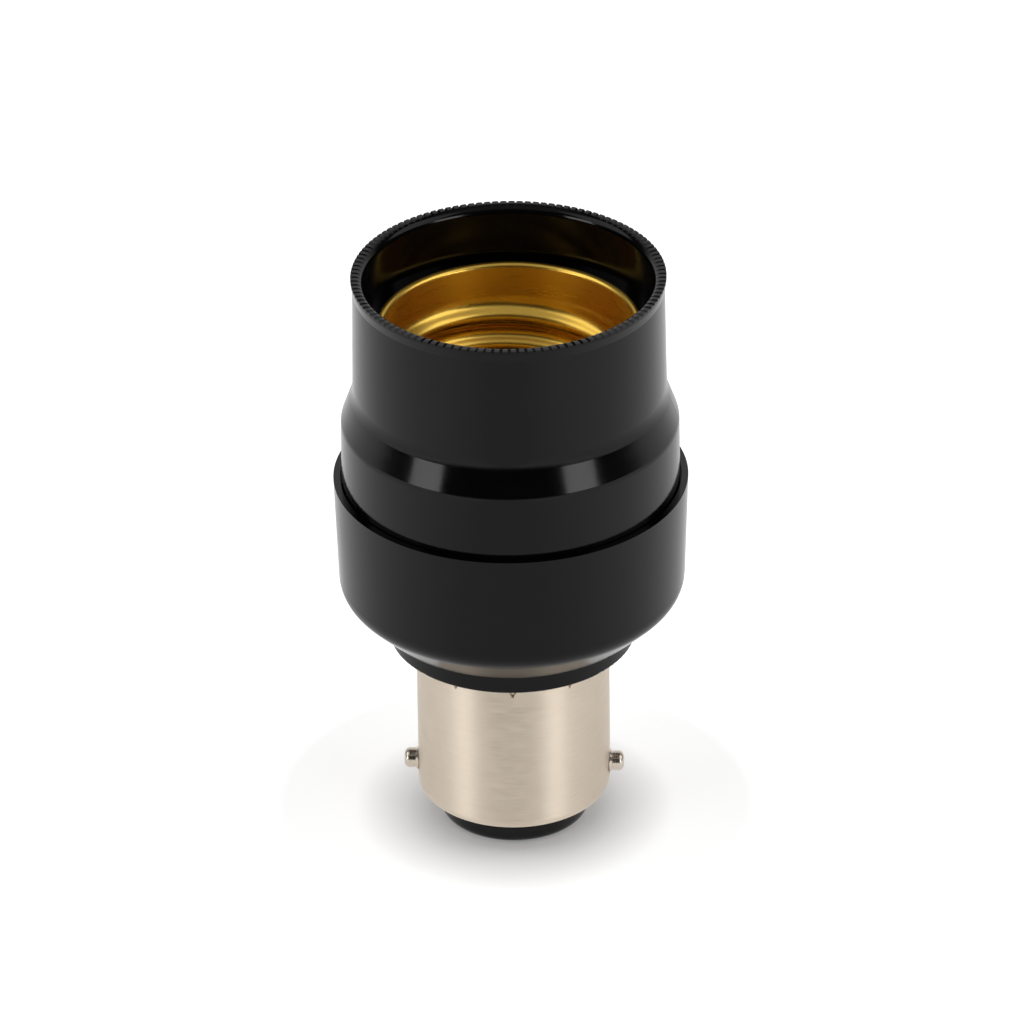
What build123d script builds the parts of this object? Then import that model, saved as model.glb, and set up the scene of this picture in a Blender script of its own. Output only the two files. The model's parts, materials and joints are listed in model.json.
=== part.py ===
from build123d import *
import os
from math import cos, pi, radians, sin, sqrt, tan

os.makedirs("parts", exist_ok=True)

# Lamp holder adapter: bayonet cap below, Edison screw holder above.
# Millimetres. The axis is Z, the foot stands on Z = 0 and the bayonet pins lie along X.
# Radii are chained outwards from the cap and the screw thread, and heights upwards from the foot.

# Bayonet cap and its pins
cap_radius = 11.0
cap_wall = 0.4
cap_length = 20.2
cap_edge_radius = 1.2
cap_lip = 1.95
pin_radius = 1.15
pin_proud = 1.6
pin_end_radius = 0.6
pin_flare_radius = 1.4
pin_flare = 0.3
pin_head_radius = 1.5
pin_head_thickness = 0.6
crimp_count = 10
crimp_turn = 20.5
crimp_drop = 1.85
crimp_size = 0.6
crimp_depth = 0.25
crimp_taper = 32.0

# Foot of the adapter
insulator_proud = 3.2
insulator_edge = 0.9
insulator_flange = 0.8
insulator_boss = 2.7
contact_margin = 1.45
contact_head_radius = 2.6
contact_head_thickness = 0.6
contact_recess = 0.1
eyelet_radius = 1.2
eyelet_bore = 0.65
eyelet_flare_radius = 1.7
eyelet_flare = 0.4

# Lower cup with its collar and neck
neck_wall = 1.6
neck_groove_depth = 0.6
neck_groove_height = 1.4
collar_ledge = 3.0
collar_height = 3.1
collar_edge_radius = 0.3
cup_base_ledge = 1.7
cup_base_slope = 45.0
cup_corner_radius = 2.75
cup_rim_wall = 0.75
cup_draft = 1.8
cup_floor = 3.0
cavity_depth = 4.5
cup_seat_width = 2.85
rim_recess_depth = 1.7

# Edison screw shell
thread_pitch = 3.629
thread_major_radius = 13.35
thread_depth = 1.1
thread_run_in = 2.4
thread_run_out = 2.0
thread_crest_below_lip = 5.4
sections_per_turn = 4
shell_wall = 0.4
mouth_flare = 0.65
shell_mouth_length = 2.9
lip_width = 0.47
lip_round_share = 0.62
lip_edge_share = 0.25
foot_flare = 0.2
flange_overlap = 0.5
key_width = 5.0

# Upper sleeve
ledge_width = 1.4
ledge_thickness = 4.2
mouth_depth = 6.65
mouth_draft = 0.9
sleeve_wall = 1.27
sleeve_draft = 1.0
sleeve_wall_height = 14.25
shell_room = 1.65
shoulder_height = 3.75
shoulder_concave_radius = 4.0
shoulder_convex_radius = 1.5
bulge_height = 8.75
bulge_step = 1.55
bulge_draft = 0.65
spigot_wall = 0.85
spigot_thread_room = 0.4
rim_flare = 0.2
rim_height = 0.4
rim_flare_height = 1.0
rim_round = 1.0
tooth_count = 120
tooth_depth = 0.22
tooth_gap_width = 0.34

# Contact block, contacts, rivets and tags
block_rim = 0.4
block_flange_thickness = 2.0
block_plate_height = 4.0
block_wall_height = 4.0
block_wall = 2.0
block_boss_depth = 1.0
leaf_thickness = 0.4
leaf_width = 5.0
leaf_bend_radius = 0.8
centre_contact_rise = 2.6
centre_contact_pad = 2.0
side_contact_pad = 1.2
side_rivet_at = -5.0
rivet_radius = 1.0
rivet_head_radius = 1.4
rivet_head_height = 0.6
tag_thickness = 0.5
tag_width = 3.2
neutral_tag_reach = 4.0

# Leads and solder
lead_radius = 0.75
lead_core_radius = 0.4
lead_wall_gap = 0.9
lead_strip_gap = 0.9
solder_radius = 1.0
solder_plug = 1.4

# Clearances
press_gap = 0.05
fit_gap = 0.1
slide_gap = 0.2
rim_gap = 0.15
turn_gap = 0.3

# Radii of the cap, the neck and the collar
cap_inner_radius = cap_radius - cap_wall
cap_hole_radius = cap_inner_radius - cap_lip
neck_radius = cap_inner_radius - fit_gap
pin_head_outer = cap_inner_radius - rim_gap
pin_head_inner = pin_head_outer - pin_head_thickness
pin_reach = cap_radius + pin_proud
neck_tip_radius = pin_head_inner - slide_gap
neck_bore_radius = neck_tip_radius - neck_wall
insulator_boss_radius = neck_bore_radius - turn_gap
contact_offset = insulator_boss_radius - eyelet_flare_radius - contact_margin
collar_radius = cap_radius + collar_ledge
cup_base_radius = collar_radius + cup_base_ledge

# Radii of the screw shell, the sleeve, the contact block and the cup
thread_offset = thread_depth / 2
thread_mean_radius = thread_major_radius - thread_offset
shell_foot_radius = thread_mean_radius + foot_flare
shell_mouth_radius = thread_major_radius + mouth_flare
lip_span = shell_wall + lip_width
shell_lip_radius = shell_mouth_radius + lip_span
ledge_bore_radius = shell_mouth_radius + shell_wall + slide_gap
ledge_radius = ledge_bore_radius + ledge_width
sleeve_mouth_radius = ledge_radius + mouth_depth * tan(radians(mouth_draft))
sleeve_top_radius = sleeve_mouth_radius + sleeve_wall
sleeve_wall_radius = sleeve_top_radius + sleeve_wall_height * tan(radians(sleeve_draft))
sleeve_rim_radius = sleeve_top_radius + rim_flare
sleeve_bore_radius = thread_major_radius + shell_wall + shell_room
shell_flange_radius = sleeve_bore_radius + flange_overlap
block_wall_radius = shell_flange_radius + block_rim
block_wall_inner = block_wall_radius - block_wall
spigot_bore_radius = block_wall_radius + turn_gap
spigot_radius = spigot_bore_radius + spigot_wall
bulge_radius = spigot_radius + bulge_step
bulge_foot_radius = bulge_radius + bulge_height * tan(radians(bulge_draft))
recess_radius = bulge_foot_radius + rim_gap
cup_rim_radius = recess_radius + cup_rim_wall
cup_bore_radius = spigot_radius + spigot_thread_room + slide_gap
cavity_radius = cup_bore_radius - cup_seat_width
leaf_reach = sqrt((block_wall_inner - turn_gap) ** 2 - (leaf_width / 2) ** 2)
foot_margin = rivet_head_radius + fit_gap
centre_rivet_at = leaf_reach - foot_margin

# Levels, from the foot up
cap_bottom = insulator_proud
flange_bottom = cap_bottom + cap_wall
flange_top = flange_bottom + insulator_flange
boss_top = flange_top + insulator_boss
pin_height = flange_top + slide_gap + pin_head_radius
neck_tip_top = pin_height + pin_head_radius + slide_gap
collar_bottom = cap_bottom + cap_length
crimp_height = collar_bottom - crimp_drop
cup_base = collar_bottom + collar_height
cavity_floor = cup_base + cup_floor
cup_seat = cavity_floor + cavity_depth
block_bottom = cup_seat - block_boss_depth
block_flange_top = cup_seat + block_flange_thickness
block_top = cup_seat + block_plate_height
block_wall_top = block_top + block_wall_height
shell_flange_bottom = block_wall_top + press_gap
shell_flange_top = shell_flange_bottom + shell_wall
spigot_bottom = block_flange_top + fit_gap
sleeve_step = shell_flange_top + rim_gap
recess_floor = sleeve_step - turn_gap
cup_rim = recess_floor + rim_recess_depth
shoulder_low = sleeve_step + bulge_height
shoulder_high = shoulder_low + shoulder_height
sleeve_top = shoulder_high + sleeve_wall_height
sleeve_ledge = sleeve_top - mouth_depth
ledge_bottom = sleeve_ledge - ledge_thickness
lip_top = sleeve_ledge + press_gap + shell_wall
mouth_bottom = lip_top - shell_mouth_length


def vertex_near(sketch, radius, height):
    """The corner of a profile that lies nearest to a radius and a height."""
    return sketch.vertices().sort_by_distance((radius, height))[0]


def smooth_step(share):
    """Ease from 0 to 1 with no kink at either end."""
    share = min(max(share, 0.0), 1.0)
    return share * share * (3 - 2 * share)


# Lower cup: cup, collar and hollow neck in one moulding
wall_lean = tan(radians(cup_draft))
base_lean = 1 / tan(radians(cup_base_slope))
cup_corner_height = (
    cup_rim_radius - cup_rim * wall_lean - cup_base_radius + cup_base * base_lean
) / (base_lean - wall_lean)
cup_corner_reach = cup_base_radius + (cup_corner_height - cup_base) * base_lean
groove_low = crimp_height - neck_groove_height / 2
groove_high = crimp_height + neck_groove_height / 2
groove_radius = neck_radius - neck_groove_depth
with BuildPart() as lower_cup:
    with BuildSketch(Plane.XZ) as cup_profile:
        with BuildLine():
            Polyline(
                (neck_bore_radius, flange_top),
                (neck_tip_radius, flange_top),
                (neck_tip_radius, neck_tip_top),
                (neck_radius, neck_tip_top),
                (neck_radius, groove_low),
                (groove_radius, groove_low),
                (groove_radius, groove_high),
                (neck_radius, groove_high),
                (neck_radius, collar_bottom),
                (collar_radius, collar_bottom),
                (collar_radius, cup_base),
                (cup_base_radius, cup_base),
                (cup_corner_reach, cup_corner_height),
                (cup_rim_radius, cup_rim),
                (recess_radius, cup_rim),
                (recess_radius, recess_floor),
                (cup_bore_radius, recess_floor),
                (cup_bore_radius, cup_seat),
                (cavity_radius, cup_seat),
                (cavity_radius, cavity_floor),
                (neck_bore_radius, cavity_floor),
                close=True,
            )
        make_face()
        fillet(vertex_near(cup_profile, cup_corner_reach, cup_corner_height), cup_corner_radius)
        fillet(vertex_near(cup_profile, collar_radius, collar_bottom), collar_edge_radius)
        fillet(vertex_near(cup_profile, cup_base_radius, cup_base), collar_edge_radius)
    revolve(axis=Axis.Z)
lower_cup.part.label = "lower_cup"
export_step(lower_cup.part, "parts/lower_cup.step")

# Bayonet cap: drawn shell with an inturned lip, pin holes and a row of staking dents
with BuildPart() as bayonet_cap:
    with BuildSketch(Plane.XZ) as cap_profile:
        with BuildLine():
            Polyline(
                (cap_hole_radius, cap_bottom),
                (cap_radius, cap_bottom),
                (cap_radius, collar_bottom),
                (cap_inner_radius, collar_bottom),
                (cap_inner_radius, flange_bottom),
                (cap_hole_radius, flange_bottom),
                close=True,
            )
        make_face()
        fillet(vertex_near(cap_profile, cap_radius, cap_bottom), cap_edge_radius)
        fillet(vertex_near(cap_profile, cap_inner_radius, flange_bottom), cap_edge_radius - cap_wall)
    revolve(axis=Axis.Z)
    with BuildSketch(Plane.YZ):
        with Locations((0, pin_height)):
            Circle(pin_radius)
    extrude(amount=cap_radius + pin_radius, both=True, mode=Mode.SUBTRACT)
    for dent in range(crimp_count):
        turn = radians(crimp_turn + dent * 360 / crimp_count)
        outward = Vector(cos(turn), sin(turn), 0)
        along = Vector(-sin(turn), cos(turn), 0)
        level = Vector(0, 0, crimp_height)
        with BuildSketch(Plane(outward * cap_inner_radius + level, along, outward)):
            RegularPolygon(crimp_size, 3, rotation=-90)
        extrude(amount=-crimp_depth, taper=crimp_taper)
        with BuildSketch(Plane(outward * cap_radius + level, along, outward)):
            RegularPolygon(crimp_size, 3, rotation=-90)
        extrude(amount=-crimp_depth, taper=crimp_taper, mode=Mode.SUBTRACT)
bayonet_cap.part.label = "bayonet_cap"
export_step(bayonet_cap.part, "parts/bayonet_cap.step")

# Bayonet pins: riveted through the cap, flared at the root and rounded at the free end
for side, name in ((1, "bayonet_pin_right"), (-1, "bayonet_pin_left")):
    with BuildPart() as bayonet_pin:
        with BuildSketch(Plane.XZ) as pin_profile:
            with BuildLine():
                Polyline(
                    (side * pin_head_inner, pin_height),
                    (side * pin_head_inner, pin_height + pin_head_radius),
                    (side * pin_head_outer, pin_height + pin_head_radius),
                    (side * pin_head_outer, pin_height + pin_radius),
                    (side * cap_radius, pin_height + pin_radius),
                    (side * cap_radius, pin_height + pin_flare_radius),
                    (side * (cap_radius + pin_flare), pin_height + pin_radius),
                    (side * pin_reach, pin_height + pin_radius),
                    (side * pin_reach, pin_height),
                    close=True,
                )
            make_face()
            fillet(vertex_near(pin_profile, side * pin_reach, pin_height + pin_radius), pin_end_radius)
        revolve(axis=Axis((0, 0, pin_height), (1, 0, 0)))
    bayonet_pin.part.label = name
    export_step(bayonet_pin.part, f"parts/{name}.step")

# Base insulator: foot that stands out of the cap, flange inside the lip, boss in the neck
insulator_radius = cap_hole_radius - fit_gap
insulator_flange_radius = cap_inner_radius - (cap_edge_radius - cap_wall)
with BuildPart() as base_insulator:
    with BuildSketch(Plane.XZ) as insulator_profile:
        with BuildLine():
            Polyline(
                (0, 0),
                (insulator_radius, 0),
                (insulator_radius, flange_bottom),
                (insulator_flange_radius, flange_bottom),
                (insulator_flange_radius, flange_top),
                (insulator_boss_radius, flange_top),
                (insulator_boss_radius, boss_top),
                (0, boss_top),
                close=True,
            )
        make_face()
        fillet(vertex_near(insulator_profile, insulator_radius, 0), insulator_edge)
    revolve(axis=Axis.Z)
    with BuildSketch():
        with Locations((0, contact_offset), (0, -contact_offset)):
            Circle(contact_head_radius + press_gap)
    extrude(amount=contact_recess + contact_head_thickness, mode=Mode.SUBTRACT)
    with BuildSketch():
        with Locations((0, contact_offset), (0, -contact_offset)):
            Circle(eyelet_radius)
    extrude(amount=boss_top, mode=Mode.SUBTRACT)
base_insulator.part.label = "base_insulator"
export_step(base_insulator.part, "parts/base_insulator.step")

# Base contacts: eyelets with a flat contact head, flared over the insulator's boss
head_top = contact_recess + contact_head_thickness
flare_top = boss_top + eyelet_flare
for side, name in ((1, "live_base_contact"), (-1, "neutral_base_contact")):
    place = Vector(0, side * contact_offset, 0)
    with BuildPart() as base_contact:
        with BuildSketch(Plane(place, (1, 0, 0), (0, -1, 0))):
            with BuildLine():
                Polyline(
                    (eyelet_bore, contact_recess),
                    (contact_head_radius, contact_recess),
                    (contact_head_radius, head_top),
                    (eyelet_radius, head_top),
                    (eyelet_radius, boss_top),
                    (eyelet_flare_radius, boss_top),
                    (eyelet_bore, flare_top),
                    close=True,
                )
            make_face()
        revolve(axis=Axis(place, (0, 0, 1)))
        head_rim = base_contact.edges().filter_by(GeomType.CIRCLE).group_by(Axis.Z)[0].sort_by(SortBy.RADIUS)
        chamfer(head_rim[-1], contact_recess)
    base_contact.part.label = name
    export_step(base_contact.part, f"parts/{name}.step")

# Solder plugs in the two eyelets
with BuildPart() as base_solder:
    with BuildSketch(Plane.XY.offset(contact_recess)):
        with Locations((0, contact_offset), (0, -contact_offset)):
            Circle(eyelet_bore)
    extrude(amount=solder_plug)
base_solder.part.label = "base_solder"
export_step(base_solder.part, "parts/base_solder.step")

# Contact block: plate clamped on the cup's seat, with a ring wall that keys the screw shell
key_radius = (block_wall_inner + block_wall_radius) / 2
key_slot_reach = key_radius + shell_wall / 2 + slide_gap
with BuildPart() as contact_block:
    with BuildSketch(Plane.XZ):
        with BuildLine():
            Polyline(
                (0, block_bottom),
                (cavity_radius - slide_gap, block_bottom),
                (cavity_radius - slide_gap, cup_seat),
                (cup_bore_radius - slide_gap, cup_seat),
                (cup_bore_radius - slide_gap, block_flange_top),
                (block_wall_radius, block_flange_top),
                (block_wall_radius, block_wall_top),
                (block_wall_inner, block_wall_top),
                (block_wall_inner, block_top),
                (0, block_top),
                close=True,
            )
        make_face()
    revolve(axis=Axis.Z)
    with BuildSketch(Plane.XY.offset(block_wall_top)):
        Rectangle(key_width + 2 * slide_gap, 2 * key_slot_reach)
    extrude(amount=-block_wall_height, mode=Mode.SUBTRACT)
    with BuildSketch(Plane.XY.offset(block_bottom)):
        with Locations((centre_rivet_at, 0), (side_rivet_at, 0)):
            Circle(rivet_radius)
    extrude(amount=block_top - block_bottom, mode=Mode.SUBTRACT)
contact_block.part.label = "contact_block"
export_step(contact_block.part, "parts/contact_block.step")

# Contact tongues: bent leaves, each with a foot under its rivet and a rising sprung arm
leaf_bottom = block_top + fit_gap
centre_pad_level = leaf_bottom + centre_contact_rise
side_pad_level = shell_flange_bottom - fit_gap - leaf_thickness
tongues = {
    "centre_contact": (
        centre_rivet_at,
        (leaf_reach, leaf_bottom),
        (centre_rivet_at - foot_margin, leaf_bottom),
        (centre_contact_pad, centre_pad_level),
        (-centre_contact_pad, centre_pad_level),
    ),
    "side_contact": (
        side_rivet_at,
        (side_rivet_at + foot_margin, leaf_bottom),
        (side_rivet_at - foot_margin, leaf_bottom),
        (side_contact_pad - leaf_reach, side_pad_level),
        (-leaf_reach, side_pad_level),
    ),
}
for name, (rivet_at, *bends) in tongues.items():
    with BuildPart() as tongue:
        with BuildSketch(Plane.XZ):
            with BuildLine():
                FilletPolyline(*bends, radius=leaf_bend_radius)
                offset(amount=leaf_thickness, side=Side.RIGHT)
            make_face()
        extrude(amount=leaf_width / 2, both=True)
        with BuildSketch(Plane.XY.offset(block_top)):
            with Locations((rivet_at, 0)):
                Circle(rivet_radius + slide_gap)
        extrude(amount=block_wall_height / 2, mode=Mode.SUBTRACT)
    tongue.part.label = name
    export_step(tongue.part, f"parts/{name}.step")

# Solder tags under the block
tag_top = block_bottom
tag_bottom = tag_top - tag_thickness
tags = {
    "live_tag": (centre_rivet_at, neck_bore_radius - lead_wall_gap - lead_radius),
    "neutral_tag": (side_rivet_at, side_rivet_at + neutral_tag_reach),
}
for name, (rivet_at, wire_at) in tags.items():
    with BuildPart() as tag:
        with BuildSketch(Plane.XY.offset(tag_bottom)):
            with Locations(((rivet_at + wire_at) / 2, 0)):
                SlotCenterToCenter(abs(wire_at - rivet_at), tag_width)
            with Locations((rivet_at, 0)):
                Circle(rivet_radius, mode=Mode.SUBTRACT)
            with Locations((wire_at, 0)):
                Circle(lead_core_radius, mode=Mode.SUBTRACT)
        extrude(amount=tag_thickness)
    tag.part.label = name
    export_step(tag.part, f"parts/{name}.step")

# Rivets: domed head over the tongue's foot, tail spread under the tag
rivet_head_bottom = leaf_bottom + leaf_thickness + turn_gap
rivet_head_top = rivet_head_bottom + rivet_head_height
rivet_tail = tag_bottom - rivet_head_height
with BuildPart() as contact_rivets:
    for rivet_at in (centre_rivet_at, side_rivet_at):
        with BuildSketch(Plane((rivet_at, 0, 0), (1, 0, 0), (0, -1, 0))):
            with BuildLine():
                Polyline(
                    (0, rivet_tail),
                    (rivet_radius, rivet_tail),
                    (rivet_head_radius, tag_bottom),
                    (rivet_radius, tag_bottom),
                    (rivet_radius, rivet_head_bottom),
                    (rivet_head_radius, rivet_head_bottom),
                    (rivet_radius, rivet_head_top),
                    (0, rivet_head_top),
                    close=True,
                )
            make_face()
        revolve(axis=Axis((rivet_at, 0, 0), (0, 0, 1)))
contact_rivets.part.label = "contact_rivets"
export_step(contact_rivets.part, "parts/contact_rivets.step")

# Leads: insulated wires from the tags, down the neck, to the base contacts
lead_top = tag_bottom - lead_strip_gap
lead_foot = flare_top + lead_strip_gap
lead_run = (lead_top - lead_foot) / 4
lead_routes = {"live_lead": (tags["live_tag"][1], 1), "neutral_lead": (tags["neutral_tag"][1], -1)}
core_bottom = contact_recess + solder_plug
for name, (wire_at, side) in lead_routes.items():
    end_at = side * contact_offset
    route = [
        Vector(wire_at, 0, lead_top),
        Vector(wire_at, 0, lead_top - lead_run),
        Vector(0.6 * wire_at, 0.6 * end_at, lead_top - 2 * lead_run),
        Vector(0, end_at, lead_foot + lead_run),
        Vector(0, end_at, lead_foot),
    ]
    radii = []
    for before, corner, after in zip(route, route[1:], route[2:]):
        into = corner - before
        out = after - corner
        half_turn = radians(into.get_angle(out) / 2)
        radii.append(0.45 * min(into.length, out.length) / tan(half_turn))
    print(name, "bend radii", [round(radius, 1) for radius in radii])
    with BuildPart() as lead:
        with BuildLine() as lead_path:
            FilletPolyline(*route, radius=radii)
        with BuildSketch(Plane(route[0], z_dir=route[1] - route[0])):
            Circle(lead_radius)
        sweep()
        with BuildSketch(Plane.XY.offset(lead_top)):
            with Locations((wire_at, 0)):
                Circle(lead_core_radius)
        extrude(amount=tag_top - lead_top)
        with BuildSketch(Plane.XY.offset(lead_foot)):
            with Locations((0, end_at)):
                Circle(lead_core_radius)
        extrude(amount=core_bottom - lead_foot)
    print(name, "volume over section times length",
          round(lead.part.volume / (pi * lead_radius**2 * lead_path.wire().length), 3))
    lead.part.label = name
    export_step(lead.part, f"parts/{name}.step")

# Solder fillets round the cores, under the tags
with BuildPart() as tag_solder:
    for wire_at, _ in lead_routes.values():
        with BuildSketch(Plane((wire_at, 0, 0), (1, 0, 0), (0, -1, 0))):
            with BuildLine():
                Polyline(
                    (lead_core_radius, lead_top),
                    (lead_radius, lead_top),
                    (solder_radius, tag_bottom),
                    (lead_core_radius, tag_bottom),
                    close=True,
                )
            make_face()
        revolve(axis=Axis((wire_at, 0, 0), (0, 0, 1)))
tag_solder.part.label = "tag_solder"
export_step(tag_solder.part, "parts/tag_solder.step")

# Screw shell: rolled Edison thread, its two skins lofted through circles that wind round the axis
thread_turns = (mouth_bottom - shell_flange_top) / thread_pitch
section_count = round(thread_turns * sections_per_turn)
crest_height = lip_top - thread_crest_below_lip
thread_faces = []
for skin in (0, shell_wall):
    with BuildPart() as thread_skin:
        for section in range(section_count + 1):
            level = shell_flange_top + (mouth_bottom - shell_flange_top) * section / section_count
            from_mouth = smooth_step((mouth_bottom - level) / thread_run_in)
            from_foot = smooth_step((level - shell_flange_top) / thread_run_out)
            off_axis = thread_offset * from_mouth * from_foot
            radius = thread_mean_radius
            radius += (shell_mouth_radius - thread_mean_radius) * (1 - from_mouth)
            radius += (shell_foot_radius - thread_mean_radius) * (1 - from_foot)
            turn = 2 * pi * (level - crest_height) / thread_pitch - pi / 2
            with BuildSketch(Plane.XY.offset(level)):
                with Locations((off_axis * cos(turn), off_axis * sin(turn))):
                    Circle(radius + skin)
        loft()
    thread_faces += thread_skin.faces().filter_by(GeomType.PLANE, reverse=True)
for level, radius in ((shell_flange_top, shell_foot_radius), (mouth_bottom, shell_mouth_radius)):
    with BuildSketch(Plane.XY.offset(level)) as thread_end:
        Circle(radius + shell_wall)
        Circle(radius, mode=Mode.SUBTRACT)
    thread_faces += thread_end.sketch.faces()
with BuildPart() as screw_shell:
    add(Solid(Shell(thread_faces)))
    with BuildSketch(Plane.XZ) as lip_profile:
        with BuildLine():
            Polyline(
                (shell_mouth_radius, mouth_bottom),
                (shell_mouth_radius + shell_wall, mouth_bottom),
                (shell_mouth_radius + shell_wall, lip_top - shell_wall),
                (shell_lip_radius, lip_top - shell_wall),
                (shell_lip_radius, lip_top),
                (shell_mouth_radius, lip_top),
                close=True,
            )
        make_face()
        fillet(vertex_near(lip_profile, shell_mouth_radius, lip_top), lip_round_share * lip_span)
        fillet(vertex_near(lip_profile, shell_lip_radius, lip_top), lip_edge_share * lip_span)
    revolve(axis=Axis.Z)
    with BuildSketch(Plane.XY.offset(shell_flange_bottom)):
        Circle(shell_flange_radius)
        Circle(shell_foot_radius, mode=Mode.SUBTRACT)
    extrude(amount=shell_wall)
    with BuildSketch(Plane.XY.offset(shell_flange_bottom)):
        with Locations((0, key_radius), (0, -key_radius)):
            Rectangle(key_width, shell_wall)
    extrude(amount=block_top + slide_gap - shell_flange_bottom)
screw_shell.part.label = "screw_shell"
export_step(screw_shell.part, "parts/screw_shell.step")

# Upper sleeve: serrated rim, straight wall, shoulder, bulge and spigot in one moulding
rim_bottom = sleeve_top - rim_height
flare_bottom = rim_bottom - rim_flare_height
flare_foot_radius = sleeve_top_radius + (sleeve_top - flare_bottom) * tan(radians(sleeve_draft))
# The flanks of a gap between teeth run on above the rim by the depth of a tooth
with BuildPart() as rim_gap_tool:
    with BuildSketch(Plane((sleeve_mouth_radius, 0, sleeve_top), (0, 1, 0), (1, 0, 0))):
        with BuildLine():
            Polyline(
                (-tooth_gap_width, tooth_depth),
                (tooth_gap_width, tooth_depth),
                (0, -tooth_depth),
                close=True,
            )
        make_face()
    extrude(amount=2 * (sleeve_rim_radius - sleeve_mouth_radius))
with BuildPart() as upper_sleeve:
    with BuildSketch(Plane.XZ) as sleeve_profile:
        with BuildLine():
            Polyline(
                (sleeve_mouth_radius, sleeve_top),
                (sleeve_rim_radius, sleeve_top),
                (sleeve_rim_radius, rim_bottom),
                (flare_foot_radius, flare_bottom),
                (sleeve_wall_radius, shoulder_high),
                (bulge_radius, shoulder_low),
                (bulge_foot_radius, sleeve_step),
                (spigot_radius, sleeve_step),
                (spigot_radius, spigot_bottom),
                (spigot_bore_radius, spigot_bottom),
                (spigot_bore_radius, sleeve_step),
                (sleeve_bore_radius, sleeve_step),
                (sleeve_bore_radius, ledge_bottom),
                (ledge_bore_radius, ledge_bottom),
                (ledge_bore_radius, sleeve_ledge),
                (ledge_radius, sleeve_ledge),
                close=True,
            )
        make_face()
        fillet(vertex_near(sleeve_profile, sleeve_mouth_radius, sleeve_top), rim_round)
        fillet(vertex_near(sleeve_profile, sleeve_wall_radius, shoulder_high), shoulder_concave_radius)
        fillet(vertex_near(sleeve_profile, bulge_radius, shoulder_low), shoulder_convex_radius)
    revolve(axis=Axis.Z)
    with PolarLocations(0, tooth_count):
        add(rim_gap_tool.part, mode=Mode.SUBTRACT)
upper_sleeve.part.label = "upper_sleeve"
export_step(upper_sleeve.part, "parts/upper_sleeve.step")
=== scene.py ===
import json
from math import cos, pi, radians, sin, sqrt

import bpy
from mathutils import Matrix, Vector


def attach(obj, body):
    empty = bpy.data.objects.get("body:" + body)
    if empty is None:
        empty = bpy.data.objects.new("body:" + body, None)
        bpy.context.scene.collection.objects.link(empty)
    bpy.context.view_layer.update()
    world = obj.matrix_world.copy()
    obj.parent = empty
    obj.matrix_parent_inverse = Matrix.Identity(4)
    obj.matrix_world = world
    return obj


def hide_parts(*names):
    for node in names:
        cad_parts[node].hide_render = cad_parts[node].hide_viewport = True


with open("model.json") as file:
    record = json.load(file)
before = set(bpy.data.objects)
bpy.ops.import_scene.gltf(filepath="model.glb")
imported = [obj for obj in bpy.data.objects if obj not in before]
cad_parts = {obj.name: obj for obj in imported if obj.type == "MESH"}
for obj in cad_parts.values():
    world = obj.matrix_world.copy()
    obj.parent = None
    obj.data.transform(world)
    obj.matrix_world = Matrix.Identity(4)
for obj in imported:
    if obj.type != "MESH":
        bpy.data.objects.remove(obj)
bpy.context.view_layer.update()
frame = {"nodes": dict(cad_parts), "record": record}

nodes = frame["nodes"]
MM = 0.001

# Camera, from the photograph's outline
IMAGE_SIZE = 1024
SENSOR_WIDTH = 36.0
FOCAL_PIXELS = 8091.0
CENTRE_PIXEL = 511.27
CAMERA_AZIMUTH = 3.0
CAMERA_REACH = 0.7894
CAMERA_HEIGHT = 0.4989
CAMERA_PITCH = 0.5276
CAMERA_ROLL = 0.01246
CLIP_NEAR = 0.01
CLIP_FAR = 50


def place_camera():
    """A long lens in front of the object, turned, pitched and rolled as the photograph's was."""
    data = bpy.data.cameras.new("camera")
    data.sensor_width = SENSOR_WIDTH
    data.lens = FOCAL_PIXELS / IMAGE_SIZE * SENSOR_WIDTH
    data.shift_x = (IMAGE_SIZE / 2 - CENTRE_PIXEL) / IMAGE_SIZE
    data.clip_start = CLIP_NEAR
    data.clip_end = CLIP_FAR
    camera = bpy.data.objects.new("camera", data)
    bpy.context.scene.collection.objects.link(camera)
    turn = Matrix.Rotation(radians(CAMERA_AZIMUTH), 4, "Z")
    tilt = Matrix.Rotation(pi / 2 - CAMERA_PITCH, 4, "X")
    roll = Matrix.Rotation(-CAMERA_ROLL, 4, "Z")
    stand = Matrix.Translation((0, -CAMERA_REACH, CAMERA_HEIGHT))
    camera.matrix_world = turn @ stand @ tilt @ roll
    bpy.context.scene.camera = camera


# Small helpers for shader trees
def new_material(name):
    """A node material; returns the material, its tree and its Principled shader."""
    material = bpy.data.materials.new(name)
    material.use_nodes = True
    tree = material.node_tree
    return material, tree, tree.nodes["Principled BSDF"]


def add_node(tree, kind, **settings):
    """A node with its properties set; keys that are sockets are set on the inputs."""
    node = tree.nodes.new(kind)
    for key, value in settings.items():
        if hasattr(node, key):
            setattr(node, key, value)
        else:
            node.inputs[key.replace("_", " ")].default_value = value
    return node


def noise(tree, scale, detail, stretch=(1, 1, 1)):
    """Noise in the object's frame, in features per metre, stretched along each axis."""
    place = add_node(tree, "ShaderNodeTexCoord")
    mapping = add_node(tree, "ShaderNodeMapping", Scale=stretch)
    tree.links.new(place.outputs["Object"], mapping.inputs["Vector"])
    texture = add_node(tree, "ShaderNodeTexNoise", Scale=scale, Detail=detail)
    tree.links.new(mapping.outputs["Vector"], texture.inputs["Vector"])
    return texture.outputs["Fac"]


def ramp(tree, source, span, low, high):
    """Map a value's span to a range from low to high, held at both ends."""
    node = add_node(tree, "ShaderNodeMapRange")
    node.inputs["From Min"].default_value, node.inputs["From Max"].default_value = span
    node.inputs["To Min"].default_value = low
    node.inputs["To Max"].default_value = high
    tree.links.new(source, node.inputs["Value"])
    return node.outputs["Result"]


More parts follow.
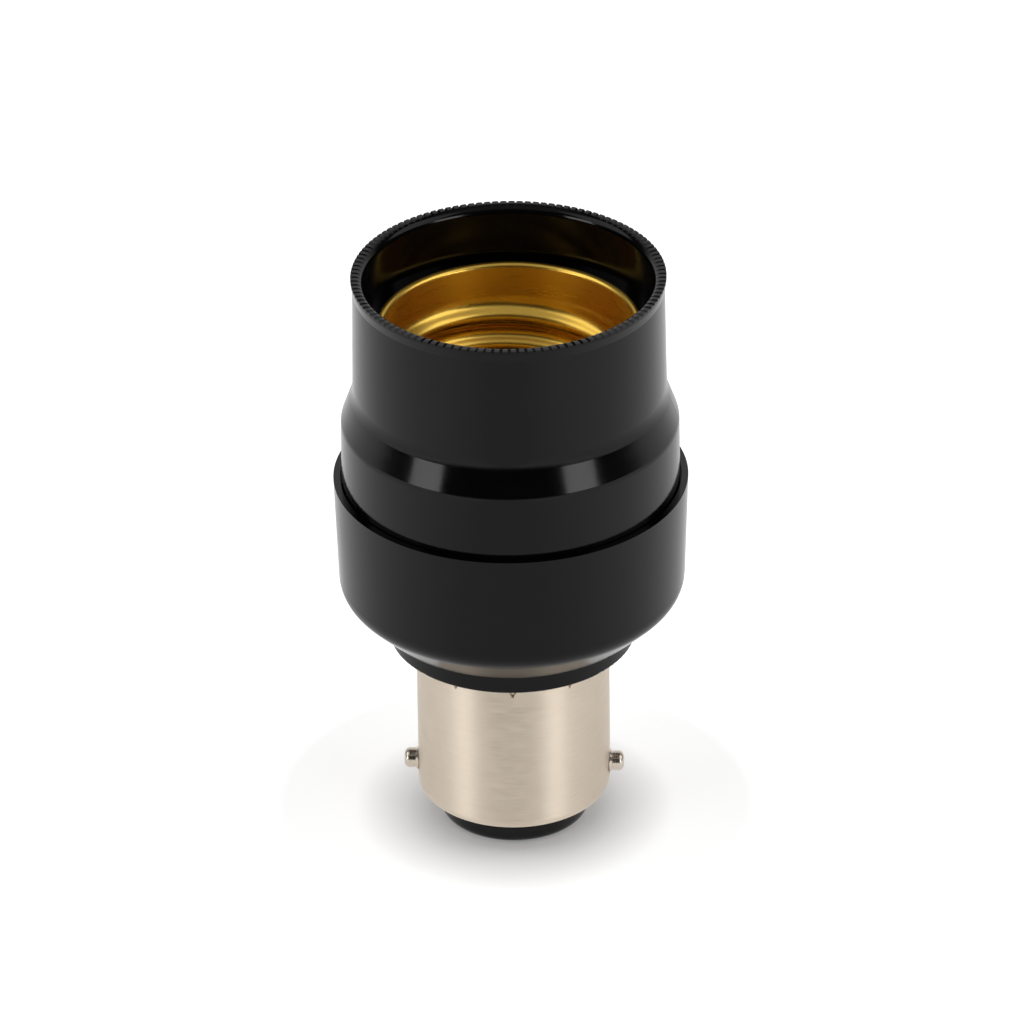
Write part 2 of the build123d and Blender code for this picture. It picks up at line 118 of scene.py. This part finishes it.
def mix_colour(tree, factor, first, second):
    """Mix two colours by a value."""
    node = add_node(tree, "ShaderNodeMix", data_type="RGBA")
    colours = [socket for socket in node.inputs if socket.type == "RGBA"]
    colours[0].default_value = (*first, 1)
    colours[1].default_value = (*second, 1)
    tree.links.new(factor, node.inputs["Factor"])
    return [socket for socket in node.outputs if socket.type == "RGBA"][0]


def combine(tree, operation, first, second):
    """One of the math node's operations on two values."""
    node = add_node(tree, "ShaderNodeMath", operation=operation)
    tree.links.new(first, node.inputs[0])
    tree.links.new(second, node.inputs[1])
    return node.outputs["Value"]


def bump(tree, shader, height, distance, strength):
    """Bump the shader's normal by a height map; distance in metres."""
    node = add_node(tree, "ShaderNodeBump", Strength=strength, Distance=distance)
    tree.links.new(height, node.inputs["Height"])
    tree.links.new(node.outputs["Normal"], shader.inputs["Normal"])


# Finishes: noise scales are in features per metre, spans are parts of the noise's range
MOULDING_IOR = 1.5
CLOUD_SCALE = 420
CLOUD_DETAIL = 5
CLOUD_SPAN = (0.4, 0.75)
HAZE_SCALE = 160
HAZE_DETAIL = 4
HAZE_LOW = 0.8
HAZE_HIGH = 1.25
RIPPLE_SCALE = 700
RIPPLE_DETAIL = 2
RIPPLE_HEIGHT = 0.02 * MM
RIPPLE_STRENGTH = 0.2
TARNISH_SCALE = 220
TARNISH_DETAIL = 4
TARNISH_SPAN = (0.35, 0.75)
TARNISH_SHARE = 0.5
GRAIN_DETAIL = 3
GRAIN_LOW = 0.85
GRAIN_HIGH = 1.2
GRAIN_HEIGHT = 0.01 * MM
GRAIN_STRENGTH = 0.05
MIDDLE_SPAN = (0.3, 0.7)
QUARTER_TURN = 0.25
ROUND_GRAIN = (0.15, 0.15, 3.0)
TURNED_GRAIN = (0.2, 0.2, 3.0)
EVEN_GRAIN = (1, 1, 1)


def moulding(colour, cloud_colour, roughness, specular):
    """Moulded thermoset: deep colour with a faint cloud, polished skin with a slight ripple."""
    material, tree, shader = new_material("moulding")
    shader.inputs["IOR"].default_value = MOULDING_IOR
    shader.inputs["Specular IOR Level"].default_value = specular
    cloud = ramp(tree, noise(tree, CLOUD_SCALE, CLOUD_DETAIL), CLOUD_SPAN, 0, 1)
    tree.links.new(mix_colour(tree, cloud, colour, cloud_colour), shader.inputs["Base Color"])
    haze = noise(tree, HAZE_SCALE, HAZE_DETAIL)
    polish = ramp(tree, haze, MIDDLE_SPAN, roughness * HAZE_LOW, roughness * HAZE_HIGH)
    tree.links.new(polish, shader.inputs["Roughness"])
    bump(tree, shader, noise(tree, RIPPLE_SCALE, RIPPLE_DETAIL), RIPPLE_HEIGHT, RIPPLE_STRENGTH)
    return material


def metal(colour, tarnish, roughness, grain, grain_stretch, turned=0.0):
    """Bare or plated metal: tone drifts between two colours, with a grain in the finish.

    Turned metal has its grain round the axis, which draws highlights out along the axis.
    """
    material, tree, shader = new_material("metal")
    shader.inputs["Metallic"].default_value = 1.0
    lines = noise(tree, grain, GRAIN_DETAIL, grain_stretch)
    patches = noise(tree, TARNISH_SCALE, TARNISH_DETAIL)
    drift = combine(
        tree,
        "ADD",
        ramp(tree, patches, TARNISH_SPAN, 0, TARNISH_SHARE),
        ramp(tree, lines, MIDDLE_SPAN, 0, 1 - TARNISH_SHARE),
    )
    tree.links.new(mix_colour(tree, drift, colour, tarnish), shader.inputs["Base Color"])
    polish = ramp(tree, lines, MIDDLE_SPAN, roughness * GRAIN_LOW, roughness * GRAIN_HIGH)
    tree.links.new(polish, shader.inputs["Roughness"])
    bump(tree, shader, lines, GRAIN_HEIGHT, GRAIN_STRENGTH)
    if turned:
        shader.inputs["Anisotropic"].default_value = turned
        shader.inputs["Anisotropic Rotation"].default_value = QUARTER_TURN
        tangent = add_node(tree, "ShaderNodeTangent", direction_type="RADIAL", axis="Z")
        tree.links.new(tangent.outputs["Tangent"], shader.inputs["Tangent"])
    return material


def make_materials():
    """One material for each slot in the record, given to the nodes that the record puts in it."""
    slots = {
        "black_moulding": moulding((0.0012, 0.0012, 0.0013), (0.002, 0.002, 0.002), 0.13, 0.2),
        "brown_moulding": moulding((0.02, 0.011, 0.007), (0.04, 0.026, 0.018), 0.4, 0.35),
        "brass": metal((0.93, 0.6, 0.11), (0.9, 0.565, 0.1), 0.3, 900, ROUND_GRAIN),
        "satin_nickel": metal(
            (0.765, 0.664, 0.55), (0.735, 0.636, 0.52), 0.42, 2200, TURNED_GRAIN, turned=0.8
        ),
        "bright_nickel": metal((0.72, 0.64, 0.55), (0.6, 0.52, 0.43), 0.24, 2500, EVEN_GRAIN),
        "solder": metal((0.5, 0.5, 0.5), (0.36, 0.36, 0.36), 0.45, 1800, EVEN_GRAIN),
        "lead_brown": moulding((0.1, 0.035, 0.015), (0.14, 0.06, 0.03), 0.5, 0.4),
        "lead_blue": moulding((0.015, 0.05, 0.2), (0.03, 0.08, 0.25), 0.5, 0.4),
    }
    for slot, material in slots.items():
        material.name = slot
    for piece in frame["record"]["subparts"]:
        mesh = nodes[piece["node"]].data
        mesh.materials.clear()
        mesh.materials.append(slots[piece["material_slot"]])
    return slots


# Brass screw shell, with the knuckle thread's true arcs
SHELL_PITCH = 3.629 * MM
SHELL_CREST = 12.25 * MM
SHELL_ROOT = 13.35 * MM
SHELL_ARC = 1.025 * MM
SHELL_WALL = 0.4 * MM
SHELL_MOUTH = 14.0 * MM
SHELL_MOUTH_FOOT = 13.5 * MM
SHELL_FOOT = 13.0 * MM
SHELL_FLANGE = 15.9 * MM
SHELL_LIP = 14.87 * MM
LIP_ROUND = 0.54 * MM
LIP_EDGE = 0.22 * MM
LIP_TOP = 63.15 * MM
MOUTH_END = LIP_TOP - LIP_ROUND
FIRST_CREST = 56.9 * MM
RUN_IN_TOP = 59.4 * MM
RUN_IN = 1.8 * MM
RUN_OUT = 2.0 * MM
FLANGE_BOTTOM = 42.05 * MM
FLANGE_TOP = 42.45 * MM
KEY_BOTTOM = 38.2 * MM
KEY_RADIUS = 15.3 * MM
KEY_WIDTH = 5.0 * MM
SHELL_COLUMNS = 180
SHELL_ROWS = 150
ARC_STEPS = 6
SHELL_CREASE = 40
BOX_SIDES = ((0, 1, 3, 2), (4, 6, 7, 5), (0, 4, 5, 1), (2, 3, 7, 6), (0, 2, 6, 4), (1, 5, 7, 3))


def smooth_step(share):
    """Ease from 0 to 1, held at both ends."""
    share = min(1, max(0, share))
    return share * share * (3 - 2 * share)


def shell_radius(height, turn):
    """Inner radius at a height and an angle: plain mouth, right-handed thread, plain foot."""
    phase = (height - FIRST_CREST) / SHELL_PITCH - (turn - pi / 2) / (2 * pi)
    off_crest = abs(phase - round(phase)) * SHELL_PITCH
    if off_crest < SHELL_PITCH / 4:
        thread = SHELL_CREST + SHELL_ARC - sqrt(SHELL_ARC**2 - off_crest**2)
    else:
        thread = SHELL_ROOT - SHELL_ARC + sqrt(SHELL_ARC**2 - (SHELL_PITCH / 2 - off_crest) ** 2)
    down = (MOUTH_END - height) / (MOUTH_END - RUN_IN_TOP + RUN_IN)
    mouth = SHELL_MOUTH + (SHELL_MOUTH_FOOT - SHELL_MOUTH) * min(1, max(0, down))
    from_mouth = smooth_step((RUN_IN_TOP - height) / RUN_IN)
    from_foot = smooth_step((height - FLANGE_TOP) / RUN_OUT)
    radius = mouth + (thread - mouth) * from_mouth
    return SHELL_FOOT + (radius - SHELL_FOOT) * from_foot


def shell_lip():
    """The lip's section, from the mouth's inner wall over the rolled edge to its underside."""
    lip = []
    for step in range(1, ARC_STEPS + 1):
        angle = pi / 2 * step / ARC_STEPS
        lip.append((SHELL_MOUTH + LIP_ROUND * (1 - cos(angle)), MOUTH_END + LIP_ROUND * sin(angle)))
    for step in range(ARC_STEPS + 1):
        angle = pi / 2 * step / ARC_STEPS
        radius = SHELL_LIP - LIP_EDGE * (1 - sin(angle))
        lip.append((radius, LIP_TOP - LIP_EDGE * (1 - cos(angle))))
    lip.append((SHELL_LIP, LIP_TOP - SHELL_WALL))
    return lip


def make_screw_shell(material):
    """Rolled sheet shell: one closed section at each angle, and the two keys below its flange."""
    rise = (MOUTH_END - FLANGE_BOTTOM) / SHELL_ROWS
    inner = [FLANGE_BOTTOM + rise * row for row in range(SHELL_ROWS + 1)]
    outer = [height for height in inner if FLANGE_TOP <= height < LIP_TOP - SHELL_WALL][::-1]
    lip = shell_lip()
    flange = [(SHELL_FLANGE, FLANGE_TOP), (SHELL_FLANGE, FLANGE_BOTTOM)]
    points = []
    for column in range(SHELL_COLUMNS):
        turn = 2 * pi * column / SHELL_COLUMNS
        section = [(shell_radius(height, turn), height) for height in inner] + lip
        section += [(shell_radius(height, turn) + SHELL_WALL, height) for height in outer] + flange
        points += [(radius * cos(turn), radius * sin(turn), height) for radius, height in section]
    count = len(points) // SHELL_COLUMNS
    faces = []
    for column in range(SHELL_COLUMNS):
        here = column * count
        there = (column + 1) % SHELL_COLUMNS * count
        for row in range(count):
            above = (row + 1) % count
            faces.append((here + row, here + above, there + above, there + row))
    for middle in (-KEY_RADIUS, KEY_RADIUS):
        first = len(points)
        for x in (-KEY_WIDTH / 2, KEY_WIDTH / 2):
            for y in (middle - SHELL_WALL / 2, middle + SHELL_WALL / 2):
                for z in (KEY_BOTTOM, FLANGE_BOTTOM + SHELL_WALL / 2):
                    points.append((x, y, z))
        faces += [tuple(first + corner for corner in side) for side in BOX_SIDES]
    mesh = bpy.data.meshes.new("rolled_shell")
    mesh.from_pydata(points, [], faces)
    mesh.shade_smooth()
    mesh.set_sharp_from_angle(angle=radians(SHELL_CREASE))
    mesh.materials.append(material)
    shell = bpy.data.objects.new("rolled_shell", mesh)
    bpy.context.scene.collection.objects.link(shell)
    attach(shell, "shell")
    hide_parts("screw_shell")


# Screw thread on the sleeve's spigot
SPIGOT_RADIUS = 17.45 * MM
THREAD_HEIGHT = 0.36 * MM
THREAD_LEAD = 2.4 * MM
THREAD_FOOT_WIDTH = 1.3 * MM
THREAD_CREST_WIDTH = 0.4 * MM
THREAD_SUNK = 0.05 * MM
SPIGOT_LOW = 36.1 * MM
SPIGOT_HIGH = 42.6 * MM
STEPS_PER_TURN = 96
FADE_STEPS = 16


def make_spigot_thread(material):
    """A right-handed ridge round the spigot, faded out at both ends."""
    run = SPIGOT_HIGH - SPIGOT_LOW - THREAD_FOOT_WIDTH
    steps = int(run / THREAD_LEAD * STEPS_PER_TURN)
    foot = SPIGOT_RADIUS - THREAD_SUNK
    points = []
    faces = []
    for step in range(steps + 1):
        turn = 2 * pi * step / STEPS_PER_TURN
        middle = SPIGOT_LOW + THREAD_FOOT_WIDTH / 2 + run * step / steps
        share = min(1, step / FADE_STEPS, (steps - step) / FADE_STEPS)
        crest = foot + (THREAD_HEIGHT + THREAD_SUNK) * share
        section = (
            (foot, -THREAD_FOOT_WIDTH),
            (crest, -THREAD_CREST_WIDTH),
            (crest, THREAD_CREST_WIDTH),
            (foot, THREAD_FOOT_WIDTH),
        )
        for radius, width in section:
            points.append((radius * cos(turn), radius * sin(turn), middle + width / 2))
        if step:
            new = 4 * step
            old = new - 4
            for k in range(4):
                after = (k + 1) % 4
                faces.append((old + k, new + k, new + after, old + after))
    mesh = bpy.data.meshes.new("spigot_thread")
    mesh.from_pydata(points, [], faces)
    mesh.materials.append(material)
    thread = bpy.data.objects.new("spigot_thread", mesh)
    bpy.context.scene.collection.objects.link(thread)
    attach(thread, "sleeve")


# Floor, in metres from the object's axis: SEEN is its glow to the camera, GLOW in mirrors
FLOOR_HALF = 4.0
FLOOR_LEVEL = -0.02 * MM
FLOOR_ROUGHNESS = 0.9
FLOOR_SPECULAR = 0.1
FLOOR_COLOUR = (0.69, 0.69, 0.69)
FLOOR_SHADE = (0.67, 0.67, 0.67)
FLOOR_NOISE_SCALE = 6
FLOOR_NOISE_DETAIL = 2
WHITE = (1, 1, 1, 1)
# SEEN_NEAR is painted shade: near the foot the floor glows less to the camera
SEEN_NEAR = 0.15
SEEN_FAR = 0.65
SEEN_CLEAR = 0.85
SHADOW_SPAN = (0.0095, 0.0185)
CLEAR_SPAN = (0.0185, 0.03)
FRONT_GLOW = 0.5
SIDE_GLOW = 0.75
SIDE_SPAN = (0.03, 0.09)
BACK_GLOW = 0.45
BACK_SPAN = (-0.05, 0.08)
FAR_GLOW = 0.6
FAR_SPAN = (0.12, 0.6)


def make_floor():
    """Pale floor: white to the camera away from the foot, with painted shade round the foot on top
    of the object's own shadow; brightest in mirrors aside.
    """
    corners = ((-1, -1), (1, -1), (1, 1), (-1, 1))
    points = [(x * FLOOR_HALF, y * FLOOR_HALF, FLOOR_LEVEL) for x, y in corners]
    mesh = bpy.data.meshes.new("floor")
    mesh.from_pydata(points, [], [(0, 1, 2, 3)])
    floor = bpy.data.objects.new("floor", mesh)
    bpy.context.scene.collection.objects.link(floor)
    material, tree, shader = new_material("floor")
    shader.inputs["Roughness"].default_value = FLOOR_ROUGHNESS
    shader.inputs["Specular IOR Level"].default_value = FLOOR_SPECULAR
    shade = ramp(tree, noise(tree, FLOOR_NOISE_SCALE, FLOOR_NOISE_DETAIL), MIDDLE_SPAN, 0, 1)
    colour = mix_colour(tree, shade, FLOOR_COLOUR, FLOOR_SHADE)
    tree.links.new(colour, shader.inputs["Base Color"])
    shader.inputs["Emission Color"].default_value = WHITE
    place = add_node(tree, "ShaderNodeTexCoord").outputs["Object"]
    split = add_node(tree, "ShaderNodeSeparateXYZ")
    tree.links.new(place, split.inputs["Vector"])
    aside = add_node(tree, "ShaderNodeMath", operation="ABSOLUTE")
    tree.links.new(split.outputs["X"], aside.inputs[0])
    length = add_node(tree, "ShaderNodeVectorMath", operation="LENGTH")
    tree.links.new(place, length.inputs[0])
    reach = length.outputs["Value"]
    side_glow = ramp(tree, aside.outputs["Value"], SIDE_SPAN, FRONT_GLOW, SIDE_GLOW)
    back_glow = ramp(tree, split.outputs["Y"], BACK_SPAN, 0, BACK_GLOW)
    far_glow = ramp(tree, reach, FAR_SPAN, 0, FAR_GLOW)
    near_glow = combine(tree, "MAXIMUM", side_glow, back_glow)
    glow = combine(tree, "MAXIMUM", near_glow, far_glow)
    # Painted shade: the floor glows only SEEN_NEAR to the camera at the foot, rising across
    # SHADOW_SPAN and CLEAR_SPAN, so the floor is darker round the foot on top of the object's own
    # shadow
    glow_dimmed_at_foot = ramp(tree, reach, SHADOW_SPAN, SEEN_NEAR, SEEN_FAR)
    clear = ramp(tree, reach, CLEAR_SPAN, SEEN_NEAR, SEEN_CLEAR)
    white = combine(tree, "MAXIMUM", glow_dimmed_at_foot, clear)
    path = add_node(tree, "ShaderNodeLightPath")
    mirrored = combine(tree, "MULTIPLY", glow, path.outputs["Is Glossy Ray"])
    seen = combine(tree, "MULTIPLY", white, path.outputs["Is Camera Ray"])
    tree.links.new(combine(tree, "MAXIMUM", mirrored, seen), shader.inputs["Emission Strength"])
    mesh.materials.append(material)


# World and lamps: place and size in metres, power in watts
WORLD_SPAN = (0.5, 0.72)
WORLD_FRONT = 0.03
WORLD_BACK = 0.8
LAMP_TARGET = (0, 0, 0.04)
LAMPS = {
    "left_box": ((-0.82, -0.6, 0.27), (0.4, 0.36), 2.4),
    "right_box": ((0.78, -0.67, 0.27), (0.4, 0.36), 2.4),
    "top_box": ((0.0, -0.3, 1.3), (1.4, 1.4), 2.0),
    "left_top": ((-1.05, -0.1, 0.95), (1.1, 1.0), 4.8),
    "right_top": ((1.05, -0.1, 0.95), (1.1, 1.0), 4.8),
}


def make_world():
    """Pale surround behind the object, dark at the sides and in front; white to the camera."""
    world = bpy.data.worlds.new("studio")
    bpy.context.scene.world = world
    world.use_nodes = True
    tree = world.node_tree
    background = tree.nodes["Background"]
    background.inputs["Color"].default_value = WHITE
    place = add_node(tree, "ShaderNodeTexCoord")
    split = add_node(tree, "ShaderNodeSeparateXYZ")
    tree.links.new(place.outputs["Generated"], split.inputs["Vector"])
    level = ramp(tree, split.outputs["Y"], WORLD_SPAN, WORLD_FRONT, WORLD_BACK)
    path = add_node(tree, "ShaderNodeLightPath")
    strength = combine(tree, "MAXIMUM", level, path.outputs["Is Camera Ray"])
    tree.links.new(strength, background.inputs["Strength"])


def make_lights():
    """Soft rectangular lamps, aimed at the middle of the object."""
    for name, (place, size, power) in LAMPS.items():
        data = bpy.data.lights.new(name, "AREA")
        data.shape = "RECTANGLE"
        data.size, data.size_y = size
        data.energy = power
        lamp = bpy.data.objects.new(name, data)
        bpy.context.scene.collection.objects.link(lamp)
        lamp.location = place
        aim = Vector(LAMP_TARGET) - lamp.location
        lamp.rotation_euler = aim.to_track_quat("-Z", "Y").to_euler()


place_camera()
finishes = make_materials()
make_screw_shell(finishes["brass"])
make_spigot_thread(finishes["black_moulding"])
make_floor()
make_world()
make_lights()

view = bpy.context.scene.view_settings
view.view_transform = "Standard"
